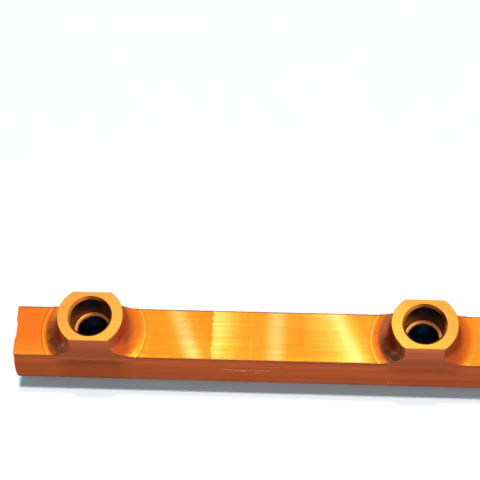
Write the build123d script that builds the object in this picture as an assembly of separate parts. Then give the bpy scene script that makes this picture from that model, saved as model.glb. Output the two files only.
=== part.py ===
from build123d import *
import os
from math import radians, tan

# Fuel rail for two injectors, machined all over from one length of extruded
# aluminium bar. Millimetres. X runs along the rail and +Z points out of the
# injector cups. The back flat lies on Z = 0, with the origin under its middle.

# Extruded bar: a round body round the fuel passage, flattened at the back,
# with a straight-sided stem that the injector bosses are milled from
body_radius = 12.0
back_flat_cut = 1.4
back_edge_radius = 1.0
stem_width = 18.4
stem_root_radius = 1.8

# Along the rail
injector_pitch = 113.0
end_length = 27.3

# Milled floor and bosses, left standing where the cutter circled each cup
floor_height = 9.7
boss_height = 12.4
boss_radius = 11.3
cutter_nose_radius = 6.35
ring_step = 0.08
boss_edge_break = 0.25
floor_edge_break = 0.2
end_edge_break = 0.2

# Fuel passage along the middle of the round body
passage_radius = 6.0

# Injector cup, open at the boss face, with a smaller hole down to the passage
cup_radius = 6.75
cup_depth = 10.8
cup_lead_in = 0.85
cup_corner_radius = 0.4
feed_radius = 5.15
feed_edge_break = 0.4

# Straight-thread port with a seal cone: 9/16-18, bored to the thread's major
# radius, with a flat spot round the mouth for the fitting's face
thread_radius = 7.14
thread_depth = 10.0
seal_cone_depth = 2.5
seal_cone_angle = 12.0
drill_point_angle = 59.0
spot_radius = 10.1
end_spot_depth = 0.4
back_spot_depth = 1.4
back_thread_depth = 6.5
back_port_offset = 13.8

# Heights and places that follow from the sizes above
axis_z = body_radius - back_flat_cut
floor_z = axis_z + floor_height
top_z = floor_z + boss_height
rail_length = injector_pitch + 2 * end_length
injector_x = [-injector_pitch / 2, injector_pitch / 2]
back_port_x = injector_x[0] + back_port_offset


def bar_section():
    # Across the bar: round body cut by the back flat, and the stem on top
    round_body = Pos(0, axis_z) * Circle(body_radius)
    above_back = Pos(0, top_z / 2) * Rectangle(3 * body_radius, top_z)
    stem = Pos(0, (axis_z + top_z) / 2) * Rectangle(stem_width, top_z - axis_z)
    section = (round_body & above_back) + stem
    section = fillet(section.vertices().group_by(Axis.Y)[0], back_edge_radius)
    return fillet(section.vertices().group_by(Axis.Y)[-2], stem_root_radius)


def extruded_bar():
    return extrude(Plane.YZ * bar_section(), rail_length / 2, both=True)


def turned(points, arcs=()):
    # A solid of revolution about Z from (radius, height) points that start and
    # end on the axis. Each arc takes the place of one straight run.
    outline = Curve()
    for number, (start, end) in enumerate(zip(points, points[1:] + points[:1])):
        radius = dict(arcs).get(number)
        outline += RadiusArc(start, end, radius) if radius else Line(start, end)
    return revolve(Plane.XZ * make_face(outline), Axis.Z)


def boss_form():
    # What the ball-nosed cutter leaves about an injector axis: a round boss
    # that flares out to a shallow ring standing just proud of the floor
    foot_radius = boss_radius + cutter_nose_radius
    foot_z = floor_z + ring_step
    profile = [
        (0, axis_z),
        (foot_radius, axis_z),
        (foot_radius, foot_z),
        (boss_radius, foot_z + cutter_nose_radius),
        (boss_radius, top_z),
        (0, top_z),
    ]
    return turned(profile, arcs=[(2, cutter_nose_radius)])


def milled_form():
    # Everything below the floor and its two broken edges, and the bosses
    half_floor = stem_width / 2 - floor_edge_break
    slope = 2 * body_radius
    section = Polygon(
        (half_floor, floor_z),
        (half_floor + slope, floor_z - slope),
        (-half_floor - slope, floor_z - slope),
        (-half_floor, floor_z),
        align=None,
    )
    form = extrude(Plane.YZ * section, rail_length, both=True)
    for x in injector_x:
        form += Pos(x, 0, 0) * boss_form()
    return form


def injector_cup():
    # Lead-in, bore, shoulder and feed hole, hung from the mouth at Z = 0
    mouth_radius = cup_radius + cup_lead_in
    shoulder_radius = feed_radius + feed_edge_break
    profile = [
        (0, cup_lead_in),
        (mouth_radius, cup_lead_in),
        (mouth_radius, 0),
        (cup_radius, -cup_lead_in),
        (cup_radius, cup_corner_radius - cup_depth),
        (cup_radius - cup_corner_radius, -cup_depth),
        (shoulder_radius, -cup_depth),
        (feed_radius, -cup_depth - feed_edge_break),
        (feed_radius, axis_z - top_z),
        (0, axis_z - top_z),
    ]
    return turned(profile, arcs=[(4, cup_corner_radius)])


def threaded_port(spot_depth, length):
    # Flat spot, seal cone, thread bore and drill point, hung from Z = 0
    cone_end = spot_depth + seal_cone_depth
    cone_radius = thread_radius + seal_cone_depth * tan(radians(seal_cone_angle))
    bore_end = cone_end + length
    point_end = bore_end + thread_radius / tan(radians(drill_point_angle))
    profile = [
        (0, body_radius),
        (spot_radius, body_radius),
        (spot_radius, -spot_depth),
        (cone_radius, -spot_depth),
        (thread_radius, -cone_end),
        (thread_radius, -bore_end),
        (0, -point_end),
    ]
    return turned(profile)


def end_ports():
    port = threaded_port(end_spot_depth, thread_depth)
    left = Plane((-rail_length / 2, 0, axis_z), x_dir=(0, 1, 0), z_dir=(-1, 0, 0))
    right = Plane((rail_length / 2, 0, axis_z), x_dir=(0, 1, 0), z_dir=(1, 0, 0))
    return left * port + right * port


def back_port():
    # Bored down to the axis of the passage, which opens its wall on two sides
    port = threaded_port(back_spot_depth, back_thread_depth)
    return Plane((back_port_x, 0, 0), x_dir=(0, 1, 0), z_dir=(0, 0, -1)) * port


def fuel_passage():
    # Drilled from end to end, and opened at the ends by the ports
    port_length = end_spot_depth + seal_cone_depth + thread_depth
    passage = Cylinder(passage_radius, rail_length - 2 * port_length)
    return Pos(0, 0, axis_z) * Rot(0, 90, 0) * passage


def break_edges(rail):
    # Deburred edges round both end faces and round each boss face
    for side in (Axis.X, -Axis.X):
        rail = chamfer(rail.faces().sort_by(side)[-1].edges(), end_edge_break)
    boss_faces = rail.faces().filter_by(Plane.XY).group_by(Axis.Z)[-1]
    return chamfer(boss_faces.edges(), boss_edge_break)


def rail_body():
    rail = break_edges(extruded_bar() & milled_form())
    for x in injector_x:
        rail -= Pos(x, 0, top_z) * injector_cup()
    rail -= fuel_passage()
    rail -= end_ports()
    rail -= back_port()
    return rail


os.makedirs("parts", exist_ok=True)
export_step(rail_body(), "parts/rail_body.step")
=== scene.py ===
from math import cos, hypot, pi, radians, sin, tau

import bmesh
import bpy
from mathutils import Euler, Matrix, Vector


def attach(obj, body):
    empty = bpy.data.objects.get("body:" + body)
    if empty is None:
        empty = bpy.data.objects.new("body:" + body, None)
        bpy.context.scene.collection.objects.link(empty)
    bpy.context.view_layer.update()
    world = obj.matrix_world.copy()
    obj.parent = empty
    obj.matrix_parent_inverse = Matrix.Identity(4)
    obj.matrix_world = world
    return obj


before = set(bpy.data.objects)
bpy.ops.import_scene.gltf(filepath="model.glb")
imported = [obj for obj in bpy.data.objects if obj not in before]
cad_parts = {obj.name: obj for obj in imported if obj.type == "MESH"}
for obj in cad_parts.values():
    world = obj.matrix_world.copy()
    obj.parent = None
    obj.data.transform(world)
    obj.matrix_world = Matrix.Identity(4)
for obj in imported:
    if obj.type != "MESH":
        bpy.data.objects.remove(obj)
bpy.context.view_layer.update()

millimetre = 0.001
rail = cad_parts["rail_body"]
print("frame loaded:", len(rail.data.polygons), "faces on the rail")

# Where things are on the rail, in millimetres
railSizes = {
    "bossX": (-56.5, 56.5),
    "pastBosses": (55.0, 65.0),   # from the injector axes out to the plain ends
    "backPortX": -42.7,
    "axisZ": 10.6,
    "floorZ": 20.3,
    "topZ": 32.7,
    "halfLength": 83.8,
    "footRadius": 17.65,
    "flareTop": 26.73,
    "mouthRadius": 7.6,
    "feedTop": 21.49,
    "passageRadius": 6.0,
    "threadRadius": 7.14,
    "spotRadius": 10.1,
    "portDepth": 12.9,
    "backSpotZ": 1.4,
}


def addNode(tree, kind, inputs=None, **settings):
    node = tree.nodes.new(kind)
    for name, value in settings.items():
        setattr(node, name, value)
    for name, value in (inputs or {}).items():
        plug(tree, value, node.inputs[name])
    return node


def plug(tree, value, socket):
    # A socket is linked, anything else is set as the socket's own value
    if isinstance(value, bpy.types.NodeSocket):
        tree.links.new(value, socket)
    else:
        socket.default_value = value


def maths(tree, operation, *values):
    node = addNode(tree, "ShaderNodeMath", operation=operation)
    for number, value in enumerate(values):
        plug(tree, value, node.inputs[number])
    return node.outputs[0]


def plus(tree, first, *others):
    for other in others:
        first = maths(tree, "ADD", first, other)
    return first


def times(tree, first, *others):
    for other in others:
        first = maths(tree, "MULTIPLY", first, other)
    return first


def minus(tree, first, second):
    return maths(tree, "SUBTRACT", first, second)


def vectorMaths(tree, operation, *values):
    node = addNode(tree, "ShaderNodeVectorMath", operation=operation)
    for number, value in enumerate(values):
        plug(tree, value, node.inputs[number])
    return node.outputs["Vector"]


def joined(tree, x=0.0, y=0.0, z=0.0):
    # Three numbers as one vector
    return addNode(tree, "ShaderNodeCombineXYZ", {"X": x, "Y": y, "Z": z}).outputs["Vector"]


def mapRange(tree, value, low, high, newLow=0.0, newHigh=1.0, smooth=True):
    limits = {"Value": value, "From Min": low, "From Max": high, "To Min": newLow, "To Max": newHigh}
    shape = "SMOOTHSTEP" if smooth else "LINEAR"
    return addNode(tree, "ShaderNodeMapRange", limits, interpolation_type=shape).outputs["Result"]


def blend(tree, mask, first, second):
    # The first number where the mask is 0 and the second where it is 1
    return mapRange(tree, mask, 0.0, 1.0, first, second)


def byBoss(tree, side, first, second):
    # The first number on the left half of the rail and the second on the right
    return mapRange(tree, side, -1.0, 1.0, first, second)


def ridge(tree, value, centre, width):
    # 1 at the centre, falling smoothly to 0 one width away
    away = maths(tree, "ABSOLUTE", minus(tree, value, centre))
    return mapRange(tree, away, 0.0, width, 1.0, 0.0)


def line(tree, value, centre, width, strength):
    # A ridge with a strength of its own
    return times(tree, ridge(tree, value, centre, width), strength)


def noise(tree, vector, scale=1.0, detail=2.0, roughness=0.5):
    settings = {"Vector": vector, "Scale": scale, "Detail": detail, "Roughness": roughness}
    return addNode(tree, "ShaderNodeTexNoise", settings).outputs["Fac"]


def spread(tree, value):
    # Most of a noise lies between these two: spread it to run from -0.5 to 0.5
    return mapRange(tree, value, 0.36, 0.64, -0.5, 0.5, smooth=False)


def waves(tree, value, pitch):
    # Swings between -1 and 1 once every pitch
    return maths(tree, "SINE", times(tree, value, tau / pitch))


def varied(tree, value, amount):
    # A factor about 1 for a value about 0
    return plus(tree, 1.0, times(tree, value, amount))


def opaque(colour):
    # With the fourth value that a colour socket takes
    return (*colour, 1.0)


def mixColours(tree, factor, first, second):
    node = addNode(tree, "ShaderNodeMix", {"Factor": factor}, data_type="RGBA")
    for colour, number in ((first, 6), (second, 7)):    # the mix node's two colour sockets
        plug(tree, opaque(colour) if isinstance(colour, tuple) else colour, node.inputs[number])
    return node.outputs[2]


def shaded(tree, colour, shade):
    # A colour made lighter or darker by a factor
    node = addNode(tree, "ShaderNodeVectorMath", operation="SCALE")
    plug(tree, colour, node.inputs[0])
    plug(tree, shade, node.inputs["Scale"])
    return node.outputs["Vector"]


class Place:
    # The point being shaded, in millimetres on the rail
    def __init__(self, tree):
        self.tree = tree
        coordinates = addNode(tree, "ShaderNodeTexCoord").outputs["Object"]
        self.vector = vectorMaths(tree, "MULTIPLY", coordinates, (1 / millimetre,) * 3)
        parts = addNode(tree, "ShaderNodeSeparateXYZ", {"Vector": self.vector}).outputs
        self.x, self.y, self.z = parts["X"], parts["Y"], parts["Z"]

    def grain(self, stretch, *settings):
        # Noise stretched along each axis, then its scale, detail and roughness
        return noise(self.tree, vectorMaths(self.tree, "MULTIPLY", self.vector, stretch), *settings)

    def distance(self, first, second):
        tree = self.tree
        return maths(tree, "SQRT", plus(tree, times(tree, first, first), times(tree, second, second)))

    def fromBoss(self):
        # Along the rail from the nearer injector axis, and the side of the rail that it is on
        side = maths(self.tree, "SIGN", self.x)
        return minus(self.tree, self.x, times(self.tree, side, railSizes["bossX"][1])), side

    def bossDistance(self):
        return self.distance(self.fromBoss()[0], self.y)

    def barDistance(self):
        # From the axis of the fuel passage
        return self.distance(self.y, minus(self.tree, self.z, railSizes["axisZ"]))

    def outer(self):
        # 0 between the bosses and 1 on the ends past them
        return mapRange(self.tree, maths(self.tree, "ABSOLUTE", self.x), *railSizes["pastBosses"])


def newMaterial(name):
    material = bpy.data.materials.new(name)
    material.use_nodes = True
    tree = material.node_tree
    return material, tree, tree.nodes["Principled BSDF"]


def anodised(name, look):
    material, tree, shader = newMaterial(name)
    shader.inputs["Metallic"].default_value = look["metallic"]
    shader.inputs["Coat Weight"].default_value = look["coat"]
    shader.inputs["Coat Roughness"].default_value = look["coatRoughness"]
    shader.inputs["Roughness"].default_value = look["roughness"]
    shader.inputs["Base Color"].default_value = opaque(look["colour"])
    if "grazingTint" in look:
        shader.inputs["Specular Tint"].default_value = opaque(look["grazingTint"])
    return material, tree, shader


def unevenRoughness(tree, value, low, high, look):
    # Rougher where the value is high and smoother where it is low
    middle, swing = look["roughness"], look["roughnessSwing"]
    return mapRange(tree, value, low, high, middle - swing, middle + swing)


def softEdge(tree, radius):
    # The face's normal, rounded over where two faces meet
    return addNode(tree, "ShaderNodeBevel", {"Radius": radius * millimetre}, samples=4).outputs["Normal"]


def tipped(tree, leanX, leanY):
    # The face's own normal, tipped by small slopes along and across the rail
    normal = addNode(tree, "ShaderNodeNewGeometry").outputs["Normal"]
    return vectorMaths(tree, "NORMALIZE", vectorMaths(tree, "ADD", normal, joined(tree, leanX, leanY)))


def bumped(tree, height, depth, normal=None):
    # Height runs from 0 to 1 over a depth in millimetres
    node = addNode(tree, "ShaderNodeBump", {"Height": height, "Distance": depth * millimetre})
    if normal is not None:
        plug(tree, normal, node.inputs["Normal"])
    return node.outputs["Normal"]


def ringHeight(tree, rings, look):
    # Bump height of turned rings, about the middle
    return plus(tree, 0.5, times(tree, rings, look["ringBump"]))


# In every look below, lengths are in millimetres. A span is where a change starts and where it is
# complete, often followed by its strength at each. A line is its place, width and strength. A grain
# is a noise: its stretch along each axis, then its scale, detail and roughness.
floorLook = {
    "colour": (0.94, 0.262, 0.008),
    # Painted highlight colours, for where the floor glows
    "highlightColour": (1.0, 0.42, 0.045),
    "goldHighlightColour": (1.0, 0.43, 0.085),         # painted highlight on the brightest parts
    "paleHighlightColour": (1.0, 0.42, 0.17),          # painted highlight on the sweeps and the soft band
    "reflectionShadeColour": (0.96, 0.178, 0.009),        # painted shade: deeper orange-red on the left end, the right tip and the dark band
    "metallic": 1.0, "roughness": 0.2, "roughnessSwing": 0.02, "coat": 0.2, "coatRoughness": 0.2,
    "brightSpan": (0.0, 0.95), "goldSpan": (0.45, 1.0),     # over how much the floor glows
    "lean": 0.066, "leanPower": 0.45,         # slope of the brightest passes towards the front
    "leanAlong": (25.0, -25.0, 0.0, 0.045),   # slope along the rail, growing to the left
    "endLean": 0.04,                          # slope of the darker left end the other way
    "ringLean": 0.03,
    "lines": {                                # fine lines along the rail
        "grain": ((0.03, 1.7, 0.0), 1.0, 4.0, 0.75),
        "glow": 0.05, "lean": 0.005, "shade": 0.045, "roughnessSpan": (-0.3, 0.3),
    },
    "clouds": {"grain": ((0.3, 0.3, 0.0), 1.0), "glow": 0.12},
    "curvedSweep": {                          # bright arcs slanting across the floor, in tipped normals and painted highlight
        "x": -24.9, "slant": 0.38, "width": 4.6,
        "across": (3.0, -5.0, 0.36, 0.47), "nearRim": (-9.0, -6.5, 0.7, 1.0),
        "arcX": -33.0, "arcY": 12.0, "arcGrain": (1.0, 4.0, 0.75), "arcs": 0.7,
        "besideShift": 2.0, "besideWidth": 10.0, "beside": 0.16,    # the same arcs about it
        "haloWidth": 9.0, "halo": 0.17,
    },
    "passEdge": {                             # where one cutter pass stops and the next starts, in tipped normals and painted highlight
        "x": -15.6, "softness": 0.12, "ragged": 3.2,
        "wanderGrain": ((0.02, 1.0, 0.0), 1.1, 5.0, 0.75),
        "fadeFrom": 1.0, "fadeTo": 13.0, "fadeTones": (0.93, 0.1), "across": (-9.0, 5.0, 0.7, 1.0),
        "passLine": (-2.2, 0.4, 0.22), "innerShift": 2.4, "innerLine": (0.8, 0.12),
    },
    "softBand": {"rise": (0.6, 6.2), "fall": (6.8, 11.6, 1.0, 0.0), "glow": 0.4, "pale": 0.46},
    "slowSweep": {                            # brightens slowly up to its crest and drops off after it, in tipped normals and painted highlight
        "x": 30.2, "slant": 0.44, "rise": 18.0, "power": 1.6, "fallFrom": 0.3, "fallTo": 8.4, "glow": 0.86,
        "crestWidth": 2.6, "crest": 0.27, "crestPale": 0.7,
    },
    "rings": {                                # the cutter's ring round each boss and its echo, as painted highlight with a painted dark line outside
        "bright": 0.4, "glow": (0.55, 0.38), "echoShift": 1.9, "echo": (0.35, 0.14),
        "darkShift": 0.55, "dark": 0.3, "darkShade": (-70.0, -60.0, 0.4, 0.14),
    },
    "nearEdgeHighlight": {                             # painted highlight in gold patches along the near edge
        "span": (-7.9, -8.8), "grain": ((0.12, 0.0, 0.0), 1.0), "patches": (0.42, 0.65), "glow": 0.22,
    },
    # painted shade: a dark line along the far edge
    "farEdgeShade": {"span": (8.6, 8.85), "shade": 0.3},
    # the left end, tipped the other way and painted a deeper orange-red as shade
    "leftEnd": (-66.0, -76.0),
    # painted highlight in the left end's near corner
    "leftCorner": {"across": (-2.0, -9.0), "glow": 0.08, "lessRed": 0.6},
    # painted shade towards the right tip and in a band right of the middle
    "rightTipShade": {"span": (66.0, 74.0), "tone": 0.45},
    "darkBand": {"line": (15.0, 2.8), "across": (-5.0, -2.0), "tone": 0.35},
}


def curvedSweep(place):
    # How much the first sweep glows, and how pale it is
    sweep = floorLook["curvedSweep"]
    tree, x, y = place.tree, place.x, place.y
    slanted = plus(tree, x, times(tree, y, sweep["slant"]))
    strength = times(tree, mapRange(tree, y, *sweep["across"]), mapRange(tree, y, *sweep["nearRim"]))
    fromCentre = place.distance(minus(tree, x, sweep["arcX"]), minus(tree, y, sweep["arcY"]))
    arcs = spread(tree, noise(tree, joined(tree, fromCentre), *sweep["arcGrain"]))
    pale = times(tree, ridge(tree, slanted, sweep["x"], sweep["width"]), strength,
                 varied(tree, arcs, sweep["arcs"]))
    beside = ridge(tree, x, sweep["x"] + sweep["besideShift"], sweep["besideWidth"])
    glow = plus(tree, pale, times(tree, arcs, beside, sweep["beside"]))
    return plus(tree, glow, line(tree, slanted, sweep["x"], sweep["haloWidth"], sweep["halo"])), pale


def passEdge(place, glow):
    # A ragged step, bright beyond it and fading, with thin lines after it
    edge = floorLook["passEdge"]
    tree, x, y = place.tree, place.x, place.y
    wander = minus(tree, place.grain(*edge["wanderGrain"]), 0.5)
    ragged = plus(tree, x, times(tree, wander, edge["ragged"]))
    step = mapRange(tree, ragged, edge["x"] - edge["softness"], edge["x"] + edge["softness"])
    fade = mapRange(tree, x, edge["x"] + edge["fadeFrom"], edge["x"] + edge["fadeTo"], *edge["fadeTones"])
    glow = plus(tree, glow, times(tree, step, fade, mapRange(tree, y, *edge["across"])))
    glow = plus(tree, glow, line(tree, x, *edge["passLine"]))
    return plus(tree, glow, line(tree, x, edge["x"] + edge["innerShift"], *edge["innerLine"]))


def softBand(place, glow, pale):
    # A pale band across the middle of the floor, soft on both sides, in tipped normals and painted highlight
    band = floorLook["softBand"]
    tree, x = place.tree, place.x
    shape = times(tree, mapRange(tree, x, *band["rise"]), mapRange(tree, x, *band["fall"]))
    glow = plus(tree, glow, times(tree, shape, band["glow"]))
    return glow, plus(tree, pale, times(tree, shape, shape, band["pale"]))


def slowSweep(place, glow, pale):
    # The broad sweep on the right of the middle, and its pale crest
    sweep = floorLook["slowSweep"]
    tree = place.tree
    slanted = plus(tree, place.x, times(tree, place.y, sweep["slant"]))
    rise = mapRange(tree, slanted, sweep["x"] - sweep["rise"], sweep["x"], smooth=False)
    fall = mapRange(tree, slanted, sweep["x"] - sweep["fallFrom"], sweep["x"] + sweep["fallTo"], 1.0, 0.0)
    glow = plus(tree, glow, times(tree, maths(tree, "POWER", rise, sweep["power"]), fall, sweep["glow"]))
    crest = line(tree, slanted, sweep["x"], sweep["crestWidth"], sweep["crest"])
    return plus(tree, glow, crest), plus(tree, pale, times(tree, crest, sweep["crestPale"]))


def cutterRings(place, glow):
    # The glow with the ring and its echo added, then the bright ring and the dark one outside it, which are
    # painted highlight and painted shade
    rings = floorLook["rings"]
    tree, foot = place.tree, railSizes["footRadius"]
    away = place.bossDistance()
    glow = plus(tree, glow, line(tree, away, foot + rings["echoShift"], *rings["echo"]))
    bright = ridge(tree, away, foot, rings["bright"])
    glow = plus(tree, glow, times(tree, bright, blend(tree, place.outer(), *rings["glow"])))
    return glow, bright, ridge(tree, away, foot + rings["darkShift"], rings["dark"])


def milledFloor():
    look = floorLook
    material, tree, shader = anodised("milledFloor", look)
    place = Place(tree)
    x, y = place.x, place.y
    lines, near, far = look["lines"], look["nearEdgeHighlight"], look["farEdgeShade"]
    corner, tip, band, clouds = look["leftCorner"], look["rightTipShade"], look["darkBand"], look["clouds"]

    glow, pale = curvedSweep(place)
    glow = passEdge(place, glow)
    glow, pale = softBand(place, glow, pale)
    glow, pale = slowSweep(place, glow, pale)
    glow, brightRing, darkRing = cutterRings(place, glow)
    # Painted highlight in gold patches along the near edge
    patches = mapRange(tree, place.grain(*near["grain"]), *near["patches"])
    glow = plus(tree, glow, times(tree, mapRange(tree, y, *near["span"]), patches, near["glow"]))
    cloud = minus(tree, place.grain(*clouds["grain"]), 0.5)
    straight = spread(tree, place.grain(*lines["grain"]))
    glow = plus(tree, glow, times(tree, cloud, clouds["glow"]), times(tree, straight, lines["glow"]))
    # The left end, with a painted highlight in its near corner
    leftEnd = mapRange(tree, x, *look["leftEnd"])
    cornerGold = times(tree, leftEnd, mapRange(tree, y, *corner["across"]))
    glow = maths(tree, "MAXIMUM", plus(tree, glow, times(tree, cornerGold, corner["glow"])), 0.0)

    # What glows is tipped towards the lamp, and it is painted in highlight colours too
    lean = times(tree, maths(tree, "POWER", glow, look["leanPower"]), -look["lean"])
    lean = plus(tree, lean, times(tree, straight, lines["lean"]))
    plain = times(tree, leftEnd, minus(tree, 1.0, brightRing))
    lean = plus(tree, lean, times(tree, plain, look["endLean"]), times(tree, darkRing, look["ringLean"]))
    leanAlong = mapRange(tree, x, *look["leanAlong"], smooth=False)
    plug(tree, tipped(tree, leanAlong, lean), shader.inputs["Normal"])

    # Painted shade: a dark line just outside each cutter's ring
    ringShade = times(tree, darkRing, mapRange(tree, x, *look["rings"]["darkShade"]))
    shade = minus(tree, varied(tree, straight, lines["shade"]), ringShade)
    # Painted shade along the far edge
    shade = times(tree, shade, blend(tree, mapRange(tree, y, *far["span"]), 1.0, far["shade"]))
    # Painted highlight: where the floor glows its colour turns brighter, then gold, then pale
    tone = mixColours(tree, mapRange(tree, glow, *look["brightSpan"], smooth=False),
                      look["colour"], look["highlightColour"])
    tone = mixColours(tree, mapRange(tree, glow, *look["goldSpan"]), tone, look["goldHighlightColour"])
    tone = mixColours(tree, maths(tree, "MINIMUM", pale, 1.0), tone, look["paleHighlightColour"])
    # Painted shade: deeper orange-red on the left end, the right tip and a band right of the middle, less in
    # the left end's near corner
    rightTipShade = times(tree, mapRange(tree, x, *tip["span"]), tip["tone"])
    darkBand = times(tree, ridge(tree, x, *band["line"]), mapRange(tree, y, *band["across"]), band["tone"])
    redder = minus(tree, plain, times(tree, cornerGold, corner["lessRed"]))
    tone = mixColours(tree, plus(tree, redder, rightTipShade, darkBand), tone, look["reflectionShadeColour"])
    plug(tree, shaded(tree, tone, shade), shader.inputs["Base Color"])
    plug(tree, unevenRoughness(tree, straight, *lines["roughnessSpan"], look), shader.inputs["Roughness"])
    return material


flareLook = {
    "colour": (0.95, 0.185, 0.012),
    "metallic": 1.0, "roughness": 0.32, "roughnessSwing": 0.05, "coat": 0.06, "coatRoughness": 0.35,
    "grazingTint": (0.7, 0.3, 0.16),
    "grain": ((0.6, 0.6, 2.5), 1.0, 3.0, 0.6), "grainSpan": (0.3, 0.7), "grainShades": (0.94, 1.06),
    "bumpDepth": 0.004, "markPitch": 0.45, "markShade": 0.02, "markBump": 0.25, "grainBump": 0.3,
    "left": (-3.0, -10.0), "right": (3.0, 8.0), "near": (-4.0, -7.6),     # sides of each boss
    "ringHighlightTone": (1.0, 0.5, 0.09),             # painted highlight just inside the cutter's ring
    "ringStart": 0.9, "ringEnd": 0.1, "ringMix": (0.72, 0.35),
    "wallShadeTone": (0.45, 0.115, 0.026),         # painted shade, darker up the round
    "wallSpan": (20.5, 22.9),
    # painted shade on the left of each boss
    "leftShadeTone": (0.56, 0.2, 0.1),
    "leftSpan": (20.4, 21.8), "leftMix": 0.85,
    "leftShades": (1.7, 0.72),                # painted light and shade on the left of the first and of the second boss
    "leftShadeSpan": (20.55, 21.0),
    "leftFoot": (20.5, 0.13, 0.25),           # painted dark line along its foot
    "deepShadeTone": (0.48, 0.155, 0.075),         # painted shade on the boss wall above the round
    "deepSpan": (22.8, 25.5),
    "nearReflectionLow": (0.66, 0.105, 0.02),           # painted reflection next to the flats on the right, low and high
    "nearReflectionHigh": (0.5, 0.145, 0.06),
    "nearHeight": (23.4, 28.0), "nearSpan": (20.6, 21.4), "nearMix": 0.9,
    # painted shade next to the flats on the left, made softer too
    "nearLeft": {"across": (-6.2, -8.2), "span": (21.2, 22.6), "shade": 0.34, "softer": 0.3},
    "rightShade": {"span": (20.4, 20.8), "shade": 0.2},       # painted shade, on the second boss only
    "rightSofter": {"span": (22.0, 25.0), "softer": 0.15},
}


def roundNormal(place, along, away):
    # The flare's true round, smooth across the mesh's facets
    tree = place.tree
    outward = minus(tree, railSizes["footRadius"], away)
    upward = maths(tree, "MAXIMUM", minus(tree, railSizes["flareTop"], place.z), 0.0)
    scale = maths(tree, "DIVIDE", outward, away)
    slope = joined(tree, times(tree, along, scale), times(tree, place.y, scale), upward)
    return vectorMaths(tree, "NORMALIZE", slope)


def milledFlare():
    look = flareLook
    material, tree, shader = anodised("milledFlare", look)
    place = Place(tree)
    y, z = place.y, place.z
    along, side = place.fromBoss()
    away = place.distance(along, y)
    foot = railSizes["footRadius"]
    marks = waves(tree, z, look["markPitch"])
    grain = place.grain(*look["grain"])
    left, right = mapRange(tree, along, *look["left"]), mapRange(tree, along, *look["right"])
    near = mapRange(tree, y, *look["near"])

    # Painted highlight: gold just inside the cutter's ring, more between the bosses
    ring = mapRange(tree, away, foot - look["ringStart"], foot - look["ringEnd"])
    ring = times(tree, ring, blend(tree, place.outer(), *look["ringMix"]))
    colour = mixColours(tree, ring, look["colour"], look["ringHighlightTone"])
    # Painted shade: darker up the round
    colour = mixColours(tree, mapRange(tree, z, *look["wallSpan"]), colour, look["wallShadeTone"])
    # Painted shade on the left of each boss
    onLeft = times(tree, left, mapRange(tree, z, *look["leftSpan"]), look["leftMix"])
    colour = mixColours(tree, onLeft, colour, look["leftShadeTone"])
    # Painted shade on the boss wall above the round, away from the front
    deep = times(tree, mapRange(tree, z, *look["deepSpan"]), minus(tree, 1.0, near))
    colour = mixColours(tree, deep, colour, look["deepShadeTone"])
    # Painted reflection next to the flats on the right of each boss
    nearReflectionTone = mixColours(tree, mapRange(tree, z, *look["nearHeight"]), look["nearReflectionLow"], look["nearReflectionHigh"])
    onNear = times(tree, near, mapRange(tree, z, *look["nearSpan"]))
    colour = mixColours(tree, times(tree, onNear, right, look["nearMix"]), colour, nearReflectionTone)

    grainShade = mapRange(tree, grain, *look["grainSpan"], *look["grainShades"])
    shade = times(tree, grainShade, varied(tree, marks, look["markShade"]))
    # Painted shade next to the flats on the left of each boss
    beside = look["nearLeft"]
    nearLeft = times(tree, left, mapRange(tree, y, *beside["across"]), mapRange(tree, z, *beside["span"]))
    shade = times(tree, shade, blend(tree, nearLeft, 1.0, beside["shade"]))
    # Painted light and shade on the left of each boss: lighter on the first, darker on the second
    leftShade = minus(tree, byBoss(tree, side, *look["leftShades"]), 1.0)
    leftShade = times(tree, left, mapRange(tree, z, *look["leftShadeSpan"]), leftShade)
    shade = times(tree, shade, plus(tree, 1.0, leftShade))
    # Painted dark line along the foot on the left of each boss
    footZ, footWidth, footShade = look["leftFoot"]
    darker = times(tree, left, ridge(tree, z, footZ, footWidth), footShade)
    shade = times(tree, shade, minus(tree, 1.0, darker))
    # Painted shade low on the right of the second boss
    second, onRight = mapRange(tree, side, 0.0, 1.0), look["rightShade"]
    darker = times(tree, right, second, mapRange(tree, z, *onRight["span"]), onRight["shade"])
    shade = times(tree, shade, minus(tree, 1.0, darker))
    plug(tree, shaded(tree, colour, shade), shader.inputs["Base Color"])

    height = plus(tree, 0.5, times(tree, marks, look["markBump"]), times(tree, grain, look["grainBump"]))
    normal = bumped(tree, height, look["bumpDepth"], roundNormal(place, along, away))
    plug(tree, normal, shader.inputs["Normal"])
    high = look["rightSofter"]
    softer = plus(tree, times(tree, nearLeft, beside["softer"]),
                  times(tree, mapRange(tree, z, *high["span"]), right, high["softer"]))
    roughness = unevenRoughness(tree, grain, *look["grainSpan"], look)
    plug(tree, plus(tree, roughness, softer), shader.inputs["Roughness"])
    return material


faceLook = {
    "colour": (0.89, 0.315, 0.034),
    # painted highlight colour, where it grows and how much at each boss
    "highlightColour": (0.93, 0.43, 0.045), "brightSpan": (-13.0, 13.0), "brightMix": (0.55, 1.0),
    "rimShadeColour": (0.42, 0.15, 0.04), "rimSpan": (32.66, 32.5),    # painted shade on the broken edges
    "metallic": 1.0, "roughness": 0.23, "coat": 0.35, "coatRoughness": 0.25,
    "grain": ((0.06, 1.6, 0.0), 1.0, 4.0, 0.7), "cloudGrain": ((0.2, 0.2, 0.0), 1.0, 2.0),
    "lean": -0.012, "lineLean": 0.01, "cloudLean": 0.04, "lineShade": 0.1,
}


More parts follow.
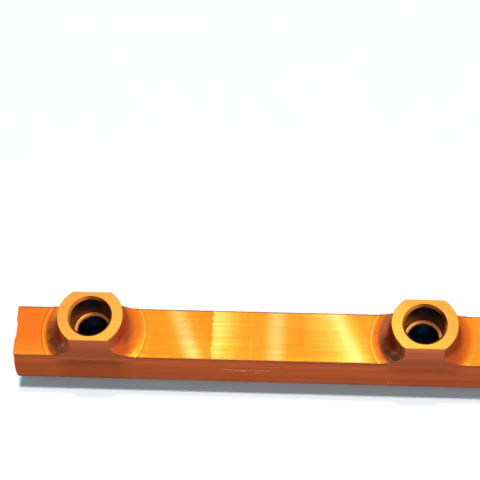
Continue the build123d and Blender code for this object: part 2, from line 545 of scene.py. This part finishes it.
def bossFace():
    look = faceLook
    material, tree, shader = anodised("bossFace", look)
    place = Place(tree)
    straight = spread(tree, place.grain(*look["grain"]))
    cloud = minus(tree, place.grain(*look["cloudGrain"]), 0.5)
    lean = plus(tree, look["lean"], times(tree, straight, look["lineLean"]),
                times(tree, cloud, look["cloudLean"]))
    plug(tree, tipped(tree, 0.0, lean), shader.inputs["Normal"])
    # Painted highlight: lighter towards the rail's middle and the near side, more on the second boss
    along, side = place.fromBoss()
    inward = minus(tree, times(tree, along, side, -1.0), place.y)
    bright = times(tree, mapRange(tree, inward, *look["brightSpan"]), byBoss(tree, side, *look["brightMix"]))
    colour = mixColours(tree, bright, look["colour"], look["highlightColour"])
    # Painted shade on the broken edge round each face
    colour = mixColours(tree, mapRange(tree, place.z, *look["rimSpan"]), colour, look["rimShadeColour"])
    plug(tree, shaded(tree, colour, varied(tree, straight, look["lineShade"])), shader.inputs["Base Color"])
    return material


stockLook = {
    # the anodise's orange, set darker as painted shade
    "colour": (0.372, 0.074, 0.0215),
    "metallic": 1.0, "roughness": 0.45, "roughnessSwing": 0.06, "coat": 0.06, "coatRoughness": 0.45,
    "grazingTint": (0.62, 0.42, 0.34),
    "lowReflectionColour": (0.4, 0.104, 0.055), "lowSpan": (12.6, 8.6),     # painted reflection, greyer on the round towards the back
    # painted reflection, pinker on the stem and the boss flats
    "flatReflectionColour": (0.46, 0.115, 0.052), "bossFlatSpan": (17.6, 19.0),
    "drawnGrain": ((0.008, 0.75, 0.75), 1.0, 4.0, 0.7), "drawnLines": 0.22, "drawnBump": 0.5,
    "fineGrain": ((0.035, 3.0, 3.0), 1.0, 3.0, 0.7), "fineLines": 0.4, "fineBump": 0.3,
    "fineSpan": (-0.25, 0.25),                # what the roughness follows
    "bumpDepth": 0.03, "edgeRadius": 0.3,
    "creaseHighlight": (17.75, 0.22, 0.1),             # painted highlight line where the stem meets the round body
    # painted shade on the stem below the floor
    "stem": {"from": (17.9, 18.3), "to": (20.6, 21.2, 1.0, 0.0), "shade": 0.88},
    "bossReach": (6.0, 17.0, 1.0, 0.0),       # along the rail from an injector axis
    # painted shadow of each boss on the round just below it
    "bossShadow": {"from": (14.0, 17.2), "to": (17.6, 17.9, 1.0, 0.0), "shades": (0.8, 0.9)},
    # painted highlight on the round's upper lip, away from the bosses
    "lipHighlight": {"from": (15.8, 17.2), "to": (17.5, 17.8, 1.0, 0.0), "shade": 1.28},
    # painted shade down the round below each boss
    "shadeUnderBosses": {"span": (18.0, 17.5), "shades": (0.84, 0.96)},
    # painted shade, darker towards the left end
    "leftEnd": (-62.0, -84.0, 1.0, 0.94),
    # painted shade on the boss flats, darker downwards, the second boss lighter
    "flats": {"from": (20.6, 21.2), "height": (30.5, 22.5, 1.03, 0.8), "shades": (0.98, 1.1)},
    "scratchTone": (0.78, 0.34, 0.17), "scratchMix": 0.8, "scratchBump": -0.4,
    "scratchBreaks": ((0.9, 0.0, 2.0), 1.0), "breakSpan": (0.35, 0.55, 0.2, 1.0),
    "scratchSide": (-5.0, -7.0),              # they lie on the near side only
    "scratchTaper": (0.15, 0.8),              # shares of the length where a mark is whole
    "scratches": (                            # from, to and width, as x and z
        ((-12.6, 15.7), (-3.0, 15.1), 0.16),
        ((-6.5, 15.4), (6.4, 15.5), 0.13),
        ((-1.0, 14.6), (3.2, 14.75), 0.1),
        ((-34.0, 14.4), (-26.5, 14.3), 0.08),
        ((44.2, 14.9), (45.3, 8.4), 0.13),
        ((45.4, 14.2), (46.2, 8.0), 0.11),
        ((44.9, 12.0), (45.5, 9.2), 0.09),
        ((12.0, 11.5), (17.5, 11.3), 0.07),
    ),
}


def scratch(place, start, end, width):
    # 1 along a thin straight mark from one point to another, 0 away from it
    tree = place.tree
    (startX, startZ), (endX, endZ) = start, end
    length = hypot(endX - startX, endZ - startZ)
    alongX, alongZ = (endX - startX) / length, (endZ - startZ) / length
    fromX, fromZ = minus(tree, place.x, startX), minus(tree, place.z, startZ)
    along = plus(tree, times(tree, fromX, alongX), times(tree, fromZ, alongZ))
    side = minus(tree, times(tree, fromZ, alongX), times(tree, fromX, alongZ))
    wholeFrom, wholeTo = (share * length for share in stockLook["scratchTaper"])
    starts, ends = mapRange(tree, along, 0.0, wholeFrom), mapRange(tree, along, wholeTo, length, 1.0, 0.0)
    return times(tree, ridge(tree, side, 0.0, width), times(tree, starts, ends))


def allScratches(place):
    tree, look = place.tree, stockLook
    marks = None
    for start, end, width in look["scratches"]:
        mark = scratch(place, start, end, width)
        marks = mark if marks is None else maths(tree, "MAXIMUM", marks, mark)
    broken = mapRange(tree, place.grain(*look["scratchBreaks"]), *look["breakSpan"])
    return times(tree, marks, broken, mapRange(tree, place.y, *look["scratchSide"]))


def skinShade(place, drawn, fine):
    # The skin's drawn and fine lines with its painted light and shade zones, as a factor about 1
    look, tree, x, z = stockLook, place.tree, place.x, place.z

    def zone(name):
        # 1 between two heights, and 0 past them
        return times(tree, mapRange(tree, z, *look[name]["from"]), mapRange(tree, z, *look[name]["to"]))

    shade = plus(tree, 1.0, times(tree, drawn, look["drawnLines"]), times(tree, fine, look["fineLines"]))
    # Painted shade on the stem below the floor
    shade = times(tree, shade, blend(tree, zone("stem"), 1.0, look["stem"]["shade"]))
    # Painted highlight line where the stem meets the round body
    shade = plus(tree, shade, line(tree, z, *look["creaseHighlight"]))
    along, side = place.fromBoss()
    nearBoss = mapRange(tree, maths(tree, "ABSOLUTE", along), *look["bossReach"])
    under, lipHighlight, beside, flats = look["bossShadow"], look["lipHighlight"], look["shadeUnderBosses"], look["flats"]
    # Painted shadow of each boss on the round just below it
    shadow = times(tree, nearBoss, mapRange(tree, z, *under["from"]), mapRange(tree, z, *under["to"]))
    # Painted highlight on the upper lip away from the bosses
    onLip = times(tree, zone("lipHighlight"), minus(tree, 1.0, nearBoss))
    # Painted shade down the round below each boss
    onBar = times(tree, nearBoss, mapRange(tree, z, *beside["span"]))
    shade = times(tree, shade,
                  blend(tree, shadow, 1.0, byBoss(tree, side, *under["shades"])),
                  blend(tree, onLip, 1.0, lipHighlight["shade"]),
                  blend(tree, onBar, 1.0, byBoss(tree, side, *beside["shades"])),
                  # painted shade, darker towards the left end
                  mapRange(tree, x, *look["leftEnd"]))
    # Painted shade on the boss flats: darker downwards, the second boss lighter
    flatShade = times(tree, mapRange(tree, z, *flats["height"]), byBoss(tree, side, *flats["shades"]))
    onFlat = times(tree, mapRange(tree, z, *flats["from"]), minus(tree, flatShade, 1.0))
    return times(tree, shade, plus(tree, 1.0, onFlat))


def extrudedSkin():
    look = stockLook
    material, tree, shader = anodised("extrudedSkin", look)
    place = Place(tree)
    z = place.z
    drawn = spread(tree, place.grain(*look["drawnGrain"]))
    fine = minus(tree, place.grain(*look["fineGrain"]), 0.5)
    marks = allScratches(place)
    # Painted reflection: greyer towards the back
    tone = mixColours(tree, mapRange(tree, z, *look["lowSpan"]), look["colour"], look["lowReflectionColour"])
    # Painted reflection: pinker on the stem and the boss flats
    tone = mixColours(tree, mapRange(tree, z, *look["bossFlatSpan"]), tone, look["flatReflectionColour"])
    tone = shaded(tree, tone, skinShade(place, drawn, fine))
    colour = mixColours(tree, times(tree, marks, look["scratchMix"]), tone, look["scratchTone"])
    plug(tree, colour, shader.inputs["Base Color"])
    height = plus(tree, 0.5, times(tree, drawn, look["drawnBump"]), times(tree, fine, look["fineBump"]),
                  times(tree, marks, look["scratchBump"]))
    normal = bumped(tree, height, look["bumpDepth"], softEdge(tree, look["edgeRadius"]))
    plug(tree, normal, shader.inputs["Normal"])
    plug(tree, unevenRoughness(tree, fine, *look["fineSpan"], look), shader.inputs["Roughness"])
    return material


cupLook = {
    "colour": (0.95, 0.3, 0.04),
    "metallic": 1.0, "roughness": 0.3, "coat": 0.08, "coatRoughness": 0.3,
    "grazingTint": (0.76, 0.78, 0.85),
    # painted shade on the cup's wall, bluer on the right and redder on the left
    "rightWallShade": (0.01, 0.045, 0.08), "leftWallShade": (0.045, 0.014, 0.012), "leftSpan": (1.5, -5.5),
    # painted reflection lower down the wall, more on the left
    "lowerWallReflection": (0.3, 0.07, 0.014), "lowerSpan": (24.6, 22.3), "lowerMix": (0.22, 0.85),
    "backRight": (0.5, 0.866),                # direction from the cup's axis
    # a bright ledge, with painted shade towards the back right
    "ledge": (1.0, 0.37, 0.065), "ledgeShade": (0.45, 0.13, 0.035),
    "ledgeTurn": (0.4, 0.95), "ledgeSpan": (6.62, 6.4),
    "mouth": (0.95, 0.262, 0.035), "mouthSpan": (31.75, 31.9),
    # painted shade on the mouth towards the back right, painted highlight at the front
    "mouthShade": (0.5, 0.88, 0.62, 0.2), "mouthFront": (0.0, -5.0, 1.0, 1.35),
    "ringPitch": 0.3, "ringShade": 0.06, "ringBump": 0.3, "bumpDepth": 0.006, "edgeRadius": 0.15,
}


def boredCup():
    # The injector's cup: its wall dark with painted shade, and a bright ledge and mouth, each with painted
    # light and shade
    look = cupLook
    material, tree, shader = anodised("boredCup", look)
    place = Place(tree)
    rings = waves(tree, place.z, look["ringPitch"])
    along = place.fromBoss()[0]
    away = place.distance(along, place.y)
    turnX, turnY = look["backRight"]
    backRight = plus(tree, times(tree, along, turnX), times(tree, place.y, turnY))
    backRight = maths(tree, "DIVIDE", backRight, away)
    # Painted shade on the wall, bluer on the right and redder on the left
    left = mapRange(tree, along, *look["leftSpan"])
    wall = mixColours(tree, left, look["rightWallShade"], look["leftWallShade"])
    # Painted reflection lower down the wall, more on the left
    low = times(tree, mapRange(tree, place.z, *look["lowerSpan"]), blend(tree, left, *look["lowerMix"]))
    wall = mixColours(tree, low, wall, look["lowerWallReflection"])
    # Painted shade on the ledge towards the back right
    ledge = mixColours(tree, mapRange(tree, backRight, *look["ledgeTurn"]), look["ledge"], look["ledgeShade"])
    lower = mixColours(tree, mapRange(tree, away, *look["ledgeSpan"]), wall, ledge)
    # Painted shade on the mouth towards the back right, painted highlight at the front
    mouthShade = times(tree, mapRange(tree, backRight, *look["mouthShade"]),
                       mapRange(tree, place.y, *look["mouthFront"]))
    mouth = shaded(tree, look["mouth"], mouthShade)
    colour = mixColours(tree, mapRange(tree, place.z, *look["mouthSpan"]), lower, mouth)
    plug(tree, shaded(tree, colour, varied(tree, rings, look["ringShade"])), shader.inputs["Base Color"])
    height = ringHeight(tree, rings, look)
    normal = bumped(tree, height, look["bumpDepth"], softEdge(tree, look["edgeRadius"]))
    plug(tree, normal, shader.inputs["Normal"])
    return material


passageLook = {
    # painted shade: dark inside the drilled passage
    "colour": (0.03, 0.055, 0.08),
    "metallic": 1.0, "roughness": 0.4, "coat": 0.1, "coatRoughness": 0.4,
    "ringPitch": 0.5, "ringShade": 0.15, "ringBump": 0.3, "bumpDepth": 0.01,
}


def drilledPassage():
    look = passageLook
    material, tree, shader = anodised("drilledPassage", look)
    place = Place(tree)
    rings = waves(tree, plus(tree, place.x, place.z), look["ringPitch"])
    # Painted shade: dark all through, with faint rings
    colour = shaded(tree, look["colour"], varied(tree, rings, look["ringShade"]))
    plug(tree, colour, shader.inputs["Base Color"])
    plug(tree, bumped(tree, ringHeight(tree, rings, look), look["bumpDepth"]), shader.inputs["Normal"])
    return material


threadLook = {
    "colour": (0.7, 0.15, 0.016),
    "metallic": 1.0, "roughness": 0.32, "coat": 0.2, "coatRoughness": 0.3,
    "grain": ((0.8, 0.8, 0.8), 1.0, 3.0, 0.6), "grainShades": (0.3, 0.7, 0.88, 1.08),
    "bumpDepth": 0.01, "edgeRadius": 0.08,
    "pitch": 1.411, "ridgeHeight": 0.66, "baseWidth": 0.98, "crestWidth": 0.2,
    "sunk": 0.05,                 # how deep the ridge's foot stands in the wall
    "stepsPerTurn": 72,
    "taperSteps": 14,             # over these it grows at its start and thins at its end
    "thinnest": 0.02,             # share of the height under which it is left out
    "openMargin": 0.1, "openTaper": 0.6,    # where the passage opens the wall
    "endPort": (81.3, 71.2),      # from and to, along the rail
    "backPort": (3.6, 10.2),      # from and to, up from the back
}


def threadedWall():
    look = threadLook
    material, tree, shader = anodised("threadedWall", look)
    grain = Place(tree).grain(*look["grain"])
    colour = shaded(tree, look["colour"], mapRange(tree, grain, *look["grainShades"]))
    plug(tree, colour, shader.inputs["Base Color"])
    normal = bumped(tree, grain, look["bumpDepth"], softEdge(tree, look["edgeRadius"]))
    plug(tree, normal, shader.inputs["Normal"])
    return material


endLook = {
    "colour": (0.86, 0.19, 0.012),
    "metallic": 1.0, "roughness": 0.3, "coat": 0.25, "coatRoughness": 0.25,
    "ringPitch": 0.4, "ringBump": 0.2,
    "unevenGrain": (2.2, 3.0, 0.6), "unevenShades": (0.3, 0.7, 0.86, 1.1), "unevenBump": 0.5,
    "cloudGrain": ((0.15, 0.15, 0.15), 1.0, 2.0), "cloudShade": 0.2,
    "bumpDepth": 0.03, "edgeRadius": 0.2,
}


def facedEnd(name, centreX=None):
    # A spot face: rings left by the facing cutter about the port's own axis, which is the
    # fuel passage's unless it has a place along the rail
    look = endLook
    material, tree, shader = anodised(name, look)
    place = Place(tree)
    if centreX is None:
        away = place.barDistance()
    else:
        away = place.distance(minus(tree, place.x, centreX), place.y)
    rings = waves(tree, away, look["ringPitch"])
    uneven = noise(tree, joined(tree, away), *look["unevenGrain"])
    cloud = minus(tree, place.grain(*look["cloudGrain"]), 0.5)
    shade = plus(tree, mapRange(tree, uneven, *look["unevenShades"]), times(tree, cloud, look["cloudShade"]))
    plug(tree, shaded(tree, look["colour"], shade), shader.inputs["Base Color"])
    height = plus(tree, ringHeight(tree, rings, look), times(tree, uneven, look["unevenBump"]))
    normal = bumped(tree, height, look["bumpDepth"], softEdge(tree, look["edgeRadius"]))
    plug(tree, normal, shader.inputs["Normal"])
    return material


# How far the centres of a surface's faces may lie from where the surface is
faceMargins = {
    "end": 0.45,              # flat spot and broken edge of an end face
    "wall": 0.1,              # passage and port walls
    "coneRim": 1.5,           # from the flat spot's rim in to the seal cone
    "mouthRim": 0.02,
    "bossTop": 0.002,
    "bossEdge": 0.26,         # broken edge of a boss face
    "backCone": 0.5,
    "backPortTop": 5.0,       # drill point of the back port, past the passage's axis
    "backSpotRim": 0.05,
    "backSpotDepth": 0.01,
    "floorEdge": 0.21,        # broken edges of the floor
    "ringStep": 0.079,        # the floor's step up to the cutter's ring
}
floorTilt = 0.6      # a floor's normal points up at least this much
flankTilt = 0.9999   # and that of the bar's straight flanks sideways at least this much


def faceKind(centre, normal):
    # The finish of the face at this centre, from where it lies on the rail
    x, y, z = (value / millimetre for value in centre)
    margins = faceMargins
    passageRadius, threadRadius = railSizes["passageRadius"], railSizes["threadRadius"]
    spotRadius, backSpotZ = railSizes["spotRadius"], railSizes["backSpotZ"]
    axisZ, floorZ, topZ = railSizes["axisZ"], railSizes["floorZ"], railSizes["topZ"]
    bossDistance = min(hypot(x - bossX, y) for bossX in railSizes["bossX"])
    axisDistance = hypot(y, z - axisZ)
    portDistance = hypot(x - railSizes["backPortX"], y)
    fromEnd = railSizes["halfLength"] - abs(x)
    if fromEnd < margins["end"] and axisDistance > threadRadius:
        return "end"
    if fromEnd < railSizes["portDepth"] + margins["wall"] and axisDistance < spotRadius - margins["coneRim"]:
        return "thread" if axisDistance > passageRadius + margins["wall"] else "passage"
    if axisDistance < passageRadius + margins["wall"] and portDistance > threadRadius - margins["wall"]:
        return "passage"
    inCup = bossDistance < railSizes["mouthRadius"] + margins["mouthRim"]
    if inCup and axisZ < z < topZ - margins["bossTop"]:
        return "cup" if z > railSizes["feedTop"] else "passage"
    if portDistance < threadRadius + margins["backCone"] and backSpotZ < z < axisZ + margins["backPortTop"]:
        return "thread"
    onBackSpot = margins["backSpotDepth"] < z <= backSpotZ + margins["backSpotDepth"]
    if portDistance < spotRadius + margins["backSpotRim"] and onBackSpot:
        return "backSpot"
    if z > topZ - margins["bossEdge"]:
        return "face"
    if normal.z > floorTilt and abs(z - floorZ) < margins["floorEdge"]:
        return "floor"
    if z > floorZ and abs(normal.y) < flankTilt:
        return "floor" if z < floorZ + margins["ringStep"] else "flare"
    return "stock"


def paintRail(materials):
    order = list(materials)
    mesh = rail.data
    mesh.materials.clear()
    for kind in order:
        mesh.materials.append(materials[kind])
    counts = dict.fromkeys(order, 0)
    for polygon in mesh.polygons:
        kind = faceKind(polygon.center, polygon.normal)
        polygon.material_index = order.index(kind)
        counts[kind] += 1
    print("rail faces by finish:", counts)


threadFinish = threadedWall()
paintRail({
    "floor": milledFloor(),
    "flare": milledFlare(),
    "face": bossFace(),
    "stock": extrudedSkin(),
    "cup": boredCup(),
    "passage": drilledPassage(),
    "thread": threadFinish,
    "end": facedEnd("facedEnd"),
    "backSpot": facedEnd("facedBack", railSizes["backPortX"]),
})


def threadRidge(name, start, end, place, wallAt=None):
    # One helical ridge on a port's wall, thinned away at both ends and where the wall is open
    look = threadLook
    wall = railSizes["threadRadius"]
    turns = abs(end - start) / look["pitch"]
    steps = int(turns * look["stepsPerTurn"])
    taper = look["taperSteps"]
    half, crest = look["baseWidth"] / 2, look["crestWidth"] / 2
    work = bmesh.new()
    previous = None
    for step in range(steps + 1):
        angle = tau * turns * step / steps
        depth = start + (end - start) * step / steps
        grown = min(1.0, step / taper, (steps - step) / taper)
        if wallAt is not None:
            grown = min(grown, wallAt(angle, depth))
        if grown <= look["thinnest"]:
            previous = None
            continue
        root, top = wall + look["sunk"], wall - look["ridgeHeight"] * grown
        section = ((root, -half), (top, -crest), (top, crest), (root, half))
        loop = [work.verts.new(place(radius, angle, depth + shift)) for radius, shift in section]
        if previous is not None:
            for number in range(len(section) - 1):
                work.faces.new((previous[number], previous[number + 1], loop[number + 1], loop[number]))
        previous = loop
    bmesh.ops.recalc_face_normals(work, faces=work.faces)
    mesh = bpy.data.meshes.new(name)
    work.to_mesh(mesh)
    work.free()
    mesh.materials.append(threadFinish)
    ridgePiece = bpy.data.objects.new(name, mesh)
    bpy.context.scene.collection.objects.link(ridgePiece)
    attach(ridgePiece, "root")


def endPlace(side):
    def place(radius, angle, depth):
        x, y, z = side * depth, radius * cos(angle), railSizes["axisZ"] + radius * sin(angle)
        return (x * millimetre, y * millimetre, z * millimetre)
    return place


def backPlace(radius, angle, depth):
    x, y = railSizes["backPortX"] + radius * cos(angle), radius * sin(angle)
    return (x * millimetre, y * millimetre, depth * millimetre)


def backWall(angle, depth):
    # How whole the back port's wall is here: 0 where the fuel passage opens it
    look = threadLook
    crest = railSizes["threadRadius"] - look["ridgeHeight"]
    clear = hypot(crest * sin(angle), railSizes["axisZ"] - depth) - railSizes["passageRadius"]
    return max(0.0, min(1.0, (clear - look["openMargin"]) / look["openTaper"]))


threadRidge("thread_left", *threadLook["endPort"], endPlace(-1))
threadRidge("thread_right", *threadLook["endPort"], endPlace(1))
threadRidge("thread_back", *threadLook["backPort"], backPlace, backWall)
print("threads cut")


white, black = (1.0, 1.0, 1.0), (0.0, 0.0, 0.0)
studio = {
    "floorColour": (0.93, 0.9, 0.9), "floorLift": 0.08, "floorSize": 60.0, "floorDrop": 0.0001,
    "lights": (               # name, where it comes from, strength, angle
        ("keyLight", (0.03, 0.062, 0.998), 0.7 * pi, 5.0),
        ("backLight", (0.04, 0.205, 0.978), 0.24 * pi, 3.0),
    ),
    "fillColour": (0.05, 0.26, 0.32),
    "card": {                 # in metres: place to the left, and how far it reaches
        "x": -0.2, "front": -0.13, "back": 0.12, "height": 0.34,
        "tone": 0.065, "darkShare": 0.55, "backTone": 0.2, "backFrom": -0.02,
    },
    "camera": {
        "place": (0.02662, -0.24207, 0.53714), "turn": (28.4708, 2.3599, 2.6780),
        "lens": 124.74, "nearest": 0.01, "farthest": 100.0,
    },
}


def seenDirectly(tree):
    # 1 for rays from the camera and for those mirrored or passed on by the object
    path = addNode(tree, "ShaderNodeLightPath").outputs
    mirrored = maths(tree, "MAXIMUM", path["Is Glossy Ray"], path["Is Transmission Ray"])
    return maths(tree, "MAXIMUM", path["Is Camera Ray"], mirrored)


def studioSheet(name, corners, materialName, colour):
    # A flat matt sheet, with its shader's tree for an emission that the caller sets
    mesh = bpy.data.meshes.new(name)
    mesh.from_pydata(corners, [], [(0, 1, 2, 3)])
    piece = bpy.data.objects.new(name, mesh)
    bpy.context.scene.collection.objects.link(piece)
    material, tree, shader = newMaterial(materialName)
    shader.inputs["Base Color"].default_value = opaque(colour)
    shader.inputs["Specular IOR Level"].default_value = 0.0
    shader.inputs["Emission Color"].default_value = opaque(white)
    mesh.materials.append(material)
    return piece, tree, shader


def makeFloor():
    half = studio["floorSize"] / 2
    corners = [(-half, -half, 0), (half, -half, 0), (half, half, 0), (-half, half, 0)]
    floor, tree, shader = studioSheet("studioFloor", corners, "studioPaper", studio["floorColour"])
    floor.location.z = -studio["floorDrop"]
    shader.inputs["Roughness"].default_value = 1.0
    lift = times(tree, seenDirectly(tree), studio["floorLift"])
    plug(tree, lift, shader.inputs["Emission Strength"])


def makeWorld():
    world = bpy.data.worlds.new("studioWorld")
    bpy.context.scene.world = world
    world.use_nodes = True
    tree = world.node_tree
    background = tree.nodes["Background"]
    colour = mixColours(tree, seenDirectly(tree), studio["fillColour"], white)
    plug(tree, colour, background.inputs["Color"])
    background.inputs["Strength"].default_value = 1.0


def makeLights():
    for name, direction, strength, angle in studio["lights"]:
        light = bpy.data.lights.new(name, "SUN")
        light.energy = strength
        light.angle = radians(angle)
        sun = bpy.data.objects.new(name, light)
        sun.rotation_mode = "QUATERNION"
        sun.rotation_quaternion = Vector(direction).to_track_quat("Z", "Y")
        sun.visible_glossy = name == "keyLight"    # the back light only softens the shadow
        bpy.context.scene.collection.objects.link(sun)


def makeCard():
    # A dark card on the left that only shows as a reflection in the metal
    card = studio["card"]
    x, front, back, height = card["x"], card["front"], card["back"], card["height"]
    corners = [(x, front, 0), (x, back, 0), (x, back, height), (x, front, height)]
    piece, tree, shader = studioSheet("darkCard", corners, "darkCard", black)
    coordinates = addNode(tree, "ShaderNodeTexCoord").outputs["Object"]
    parts = addNode(tree, "ShaderNodeSeparateXYZ", {"Vector": coordinates}).outputs
    upward = mapRange(tree, parts["Z"], card["darkShare"] * height, height, card["tone"], 1.0)
    backward = mapRange(tree, parts["Y"], card["backFrom"], back, 0.0, card["backTone"])
    plug(tree, maths(tree, "MAXIMUM", upward, backward), shader.inputs["Emission Strength"])
    piece.visible_camera = piece.visible_diffuse = piece.visible_shadow = False


def makeCamera():
    view = studio["camera"]
    data = bpy.data.cameras.new("camera")
    data.lens = view["lens"]
    data.clip_start, data.clip_end = view["nearest"], view["farthest"]
    camera = bpy.data.objects.new("camera", data)
    camera.location = view["place"]
    camera.rotation_euler = Euler([radians(angle) for angle in view["turn"]], "XYZ")
    bpy.context.scene.collection.objects.link(camera)
    bpy.context.scene.camera = camera


makeFloor()
makeWorld()
makeLights()
makeCard()
makeCamera()
bpy.context.scene.view_settings.view_transform = "Standard"
print("studio ready")
